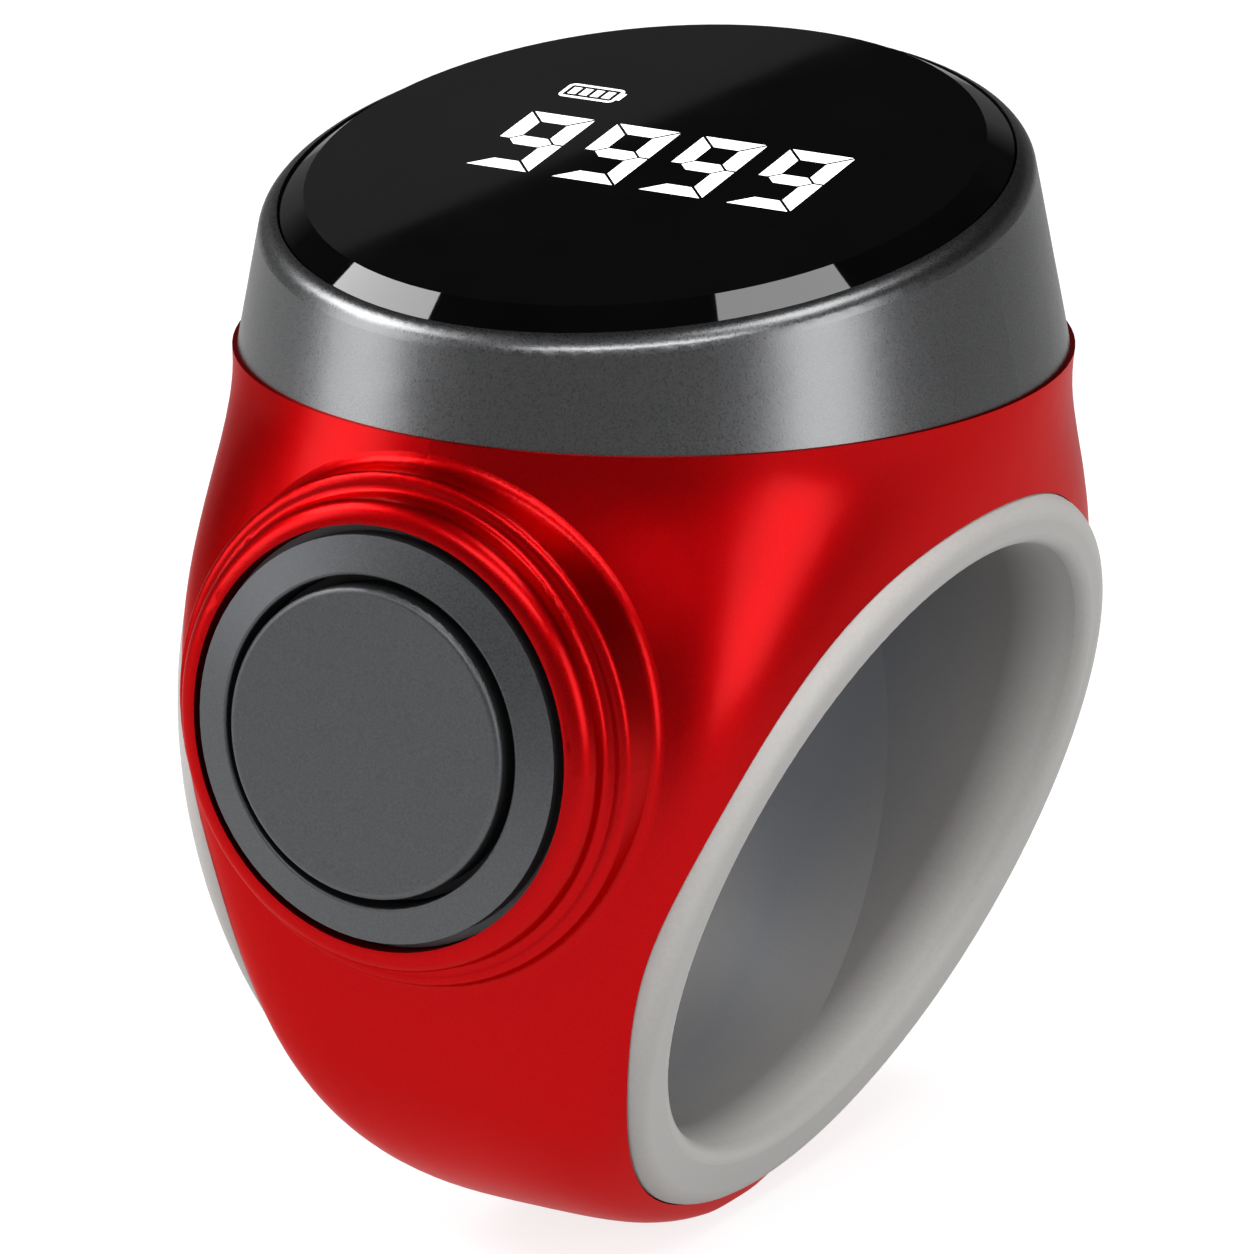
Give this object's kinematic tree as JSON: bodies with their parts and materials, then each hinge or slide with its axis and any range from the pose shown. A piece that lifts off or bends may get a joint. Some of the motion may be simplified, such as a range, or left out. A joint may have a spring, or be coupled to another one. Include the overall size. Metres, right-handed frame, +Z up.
{
  "type": "digital tally counter ring",
  "caption": "Finger ring with a tilted round digital display on top, a push button on the side and a soft liner in the bore, for counting beads or prayers.",
  "frame": {"origin": "centre of the round finger bore", "axes": "+X along the finger bore, the button faces -Y, +Z up through the display"},
  "size_m": [0.0244, 0.0299, 0.0334],
  "materials": {
    "red_shell": "satin candy red over metal, fine grain",
    "grey_metal": "fine bead-blasted dark grey",
    "black_glass": "polished black",
    "lit_marks": "lit white",
    "silicone": "satin pale warm grey",
    "tape": "black foam tape",
    "white_film": "matte",
    "black_plastic": "matte",
    "light_chip": "clear resin",
    "circuit_board": "solder mask",
    "ivory_plastic": "matte",
    "steel": "plain",
    "cell_skin": "foil",
    "foam": "foam",
    "copper": "bare",
    "seal_rubber": "matte",
    "strip": "amber film",
    "gold": "plated",
    "magnet": "nickel plated"
  },
  "bodies": {
    "ring": {"battery": "cell_skin", "battery_leads": "copper", "battery_pad": "foam", "bezel_ring": "grey_metal", "body_shell": "red_shell", "button_trim_ring": "grey_metal", "charge_contacts": "gold", "charge_flex": "strip", "charge_magnets": "magnet", "contact_plate": "black_plastic", "control_chips": "black_plastic", "diffuser_film": "white_film", "display_board": "circuit_board", "display_glass": "black_glass", "display_segments": "lit_marks", "finger_liner": "silicone", "flex_connectors": "ivory_plastic", "frame_screws": "steel", "glass_adhesive": "tape", "inner_frame": "black_plastic", "led_chips": "light_chip", "seam_gasket": "seal_rubber", "segment_housing": "black_plastic", "switch_board": "circuit_board", "switch_body": "black_plastic", "switch_flex": "strip", "switch_terminals": "steel"},
    "button": {"button_cap": "grey_metal", "button_seal": "seal_rubber"},
    "plunger": {"switch_plunger": "ivory_plastic"}
  },
  "joints": [
    {"name": "button_press", "type": "slide", "parent": "ring", "child": "button", "axis": [0, 0.998, -0.0637], "range_m": [0, 0.0005], "stiffness_N_per_m": 500},
    {"name": "plunger_press", "type": "slide", "parent": "ring", "child": "plunger", "axis": [0, 0.998, -0.0637], "range_m": [0, 0.0006]}
  ],
  "couplings": [
    {"joint": "plunger_press", "follows": "button_press", "ratio": 1}
  ]
}
